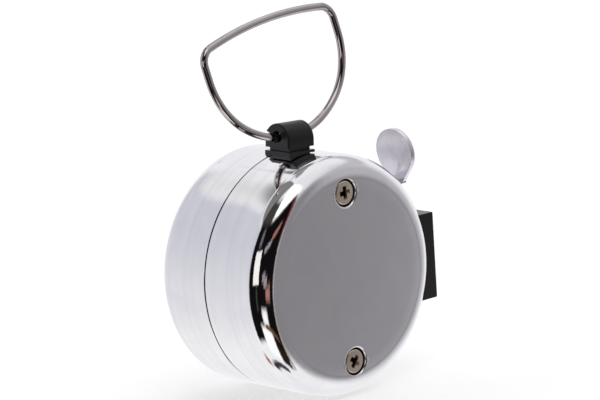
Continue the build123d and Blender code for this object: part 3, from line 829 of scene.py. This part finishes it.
# What the chrome mirrors, as soft-edged patches round the object: azimuth from the camera's side,
# elevation, softness of the edges (all in degrees) and colour. Later patches lie over earlier ones.
surroundings = (
    ((-180, 180), (-90, 4), 26, (0.84, 0.84, 0.87)),        # the wall pales towards the table
    ((-180, 180), (-90, -34), 14, (1.0, 0.995, 0.995)),     # white table
    ((-180, 180), (40.5, 90), 1.5, (0.88, 0.875, 0.88)),    # white ceiling
    ((-210, -150), (-90, 90), 9, (0.95, 0.95, 0.97)),       # white backdrop behind the object
    ((118, 210), (-90, 90), 20, (0.95, 0.95, 0.97)),
    ((64, 124), (-32, 42), 20, (0.50, 0.49, 0.505)),        # pale grey wall beside the backdrop
    ((104, 176), (27, 40.3), 4, (0.58, 0.565, 0.60)),       # a dimmer strip under the ceiling
    ((46, 96), (-26, 3), 12, (0.256, 0.247, 0.258)),        # grey wall that the flat end face mirrors
    ((46, 76), (-36, 37), 11, (0.26, 0.25, 0.262)),
    ((-20, 56), (50, 90), 4, (1.35, 1.34, 1.31)),           # softbox overhead
    ((-148, -70), (45, 90), 2.5, (0.24, 0.23, 0.225)),      # the ceiling's grey part
    ((-192, -160), (45, 73), 3, (0.32, 0.31, 0.30)),        # a lamp's grey shade
    ((-192, -160), (38.6, 47), 1.4, (0.17, 0.16, 0.165)),
    ((-80, -14), (43, 72), 6, (0.055, 0.05, 0.047)),        # dark part of the ceiling, to the camera's left
    ((-71, 49), (-48, 49), 4, (0.006, 0.005, 0.005)),       # dark room behind the camera
    ((-48.5, -20.5), (-1, 26), 1.2, (1.05, 1.02, 0.98)),    # window
    ((-43, -31), (30, 44), 4, (0.17, 0.165, 0.19)),         # the window's dim upper light
    ((-34, -28), (-22, -4), 3, (0.06, 0.058, 0.06)),
    ((-9, 15), (21.5, 26.5), 2, (0.36, 0.33, 0.38)),        # strip lamps, cool at one end, warm at the other
    ((13, 34), (24, 30), 2.5, (0.40, 0.18, 0.16)),
    ((-4, 8), (-1, 5), 2, (0.30, 0.28, 0.30)),
    ((4, 18), (-5, 1), 2, (0.34, 0.30, 0.31)),
    ((13, 33), (-14, -6), 3, (0.42, 0.20, 0.17)),
    ((-28, 18), (-60, -34), 4, (1.2, 1.18, 1.15)),          # bright table top in front of the camera
    ((-12, 12), (-32, -20), 4, (1.1, 1.08, 1.05)),
    ((20, 46), (-60, -40), 4, (0.022, 0.015, 0.01)),        # the dark room's lower corner
    ((-6, 40), (-35, -31), 1.5, (0.14, 0.08, 0.045)),
    ((-92, 26), (-76, -67), 3, (0.05, 0.045, 0.06)),        # the table's dark edge
    ((-112, -88), (-63, -54), 4, (0.42, 0.16, 0.15)),
    ((46, 50), (8, 46), 2, (0.20, 0.035, 0.03)),            # red edge of the dark room
    ((50.5, 53), (-20, 12), 1, (0.50, 0.49, 0.50)),         # pale edges below the red one
    ((49.5, 53), (-56, -16), 1.2, (0.46, 0.36, 0.25)),
)


def surroundings_shader(tree):
    """The colour of the surroundings in each direction, from the patches above."""
    def node(kind, inputs, **settings):
        return shader_node(tree, kind, inputs, **settings)

    def degrees_of(socket):
        return node("ShaderNodeMath", {0: socket, 1: 180 / pi}, operation="MULTIPLY").outputs[0]

    def within(value, span, softness):
        rise = {"Value": value, "From Min": span[0] - softness, "From Max": span[0] + softness}
        fall = {"Value": value, "From Min": span[1] - softness, "From Max": span[1] + softness}
        fall |= {"To Min": 1, "To Max": 0}
        sides = [
            node("ShaderNodeMapRange", inputs, interpolation_type="SMOOTHSTEP").outputs[0]
            for inputs in (rise, fall)
        ]
        return node("ShaderNodeMath", dict(enumerate(sides)), operation="MULTIPLY").outputs[0]

    direction = tree.nodes.new("ShaderNodeTexCoord").outputs["Generated"]
    turned_back = node(
        "ShaderNodeVectorRotate",
        {"Vector": direction, "Axis": (0, 0, 1), "Angle": radians(-camera_side)},
        rotation_type="AXIS_ANGLE",
    )
    x, y, z = node("ShaderNodeSeparateXYZ", {"Vector": turned_back.outputs[0]}).outputs
    azimuth = degrees_of(node("ShaderNodeMath", {0: y, 1: x}, operation="ARCTAN2").outputs[0])
    elevation = degrees_of(node("ShaderNodeMath", {0: z}, operation="ARCSINE").outputs[0])
    colour = (0.67, 0.675, 0.735, 1)
    for azimuths, elevations, softness, patch in surroundings:
        mask = within(elevation, elevations, softness)
        if azimuths != (-180, 180):
            sideways = within(azimuth, azimuths, softness)
            mask = node("ShaderNodeMath", {0: mask, 1: sideways}, operation="MULTIPLY").outputs[0]
        colour = node(
            "ShaderNodeMix", {"Factor": mask, 6: colour, 7: (*patch, 1)}, data_type="RGBA"
        ).outputs[2]
    return colour


def world_light():
    """Pure white to the camera, and the surroundings to everything else."""
    world = bpy.data.worlds.new("studio")
    scene.world = world
    world.use_nodes = True
    tree = world.node_tree
    tree.nodes.clear()
    path = tree.nodes.new("ShaderNodeLightPath")
    plain = tree.nodes.new("ShaderNodeMix")
    plain.data_type = "RGBA"
    tree.links.new(path.outputs["Is Camera Ray"], plain.inputs["Factor"])
    tree.links.new(surroundings_shader(tree), plain.inputs[6])
    plain.inputs[7].default_value = (1, 1, 1, 1)
    background = tree.nodes.new("ShaderNodeBackground")
    tree.links.new(plain.outputs[2], background.inputs["Color"])
    output = tree.nodes.new("ShaderNodeOutputWorld")
    tree.links.new(background.outputs[0], output.inputs["Surface"])


def floor():
    """A pale floor under the object, lit enough to read as white away from the object's shadow."""
    half_width = 1.6                # metres
    bm = bmesh.new()
    bmesh.ops.create_grid(bm, x_segments=8, y_segments=8, size=half_width)
    made = mesh_object("studio_floor", bm)
    made.location = (case_length / 2, 0, cad_box[0][2])
    made.visible_glossy = False
    finish = Finish("studio_floor", (0.92, 0.92, 0.92), roughness=0.9)
    finish.set("Emission Color", (1, 1, 1, 1))
    finish.set("Emission Strength", 0.5)
    made.data.materials.append(finish.material)


def camera():
    """A long lens, looking at the screwed end face from its left and a little above."""
    azimuth, elevation, roll = radians(226.882), radians(11.422), radians(-3.609)
    distance = 0.66356
    aim_right = 0.681 * mm          # where it looks, from the middle of the drum
    aim_up = 12.787 * mm
    forward = Vector((-cos(elevation) * sin(azimuth), cos(elevation) * cos(azimuth), -sin(elevation)))
    level_right = forward.cross(Vector((0, 0, 1))).normalized()
    level_up = level_right.cross(forward)
    right = level_right * cos(roll) + level_up * sin(roll)
    up = level_up * cos(roll) - level_right * sin(roll)
    aim = Vector((case_length / 2, 0, 0)) + right * aim_right + up * aim_up
    data = bpy.data.cameras.new("camera")
    data.lens = 213.7
    data.sensor_width = 36
    data.clip_start = 0.01
    made = bpy.data.objects.new("camera", data)
    scene.collection.objects.link(made)
    turn = Matrix((right, up, -forward)).transposed().to_4x4()
    made.matrix_world = Matrix.Translation(aim - forward * distance) @ turn
    scene.camera = made


camera()
build_object()
floor()
world_light()
scene.view_settings.view_transform = "Standard"
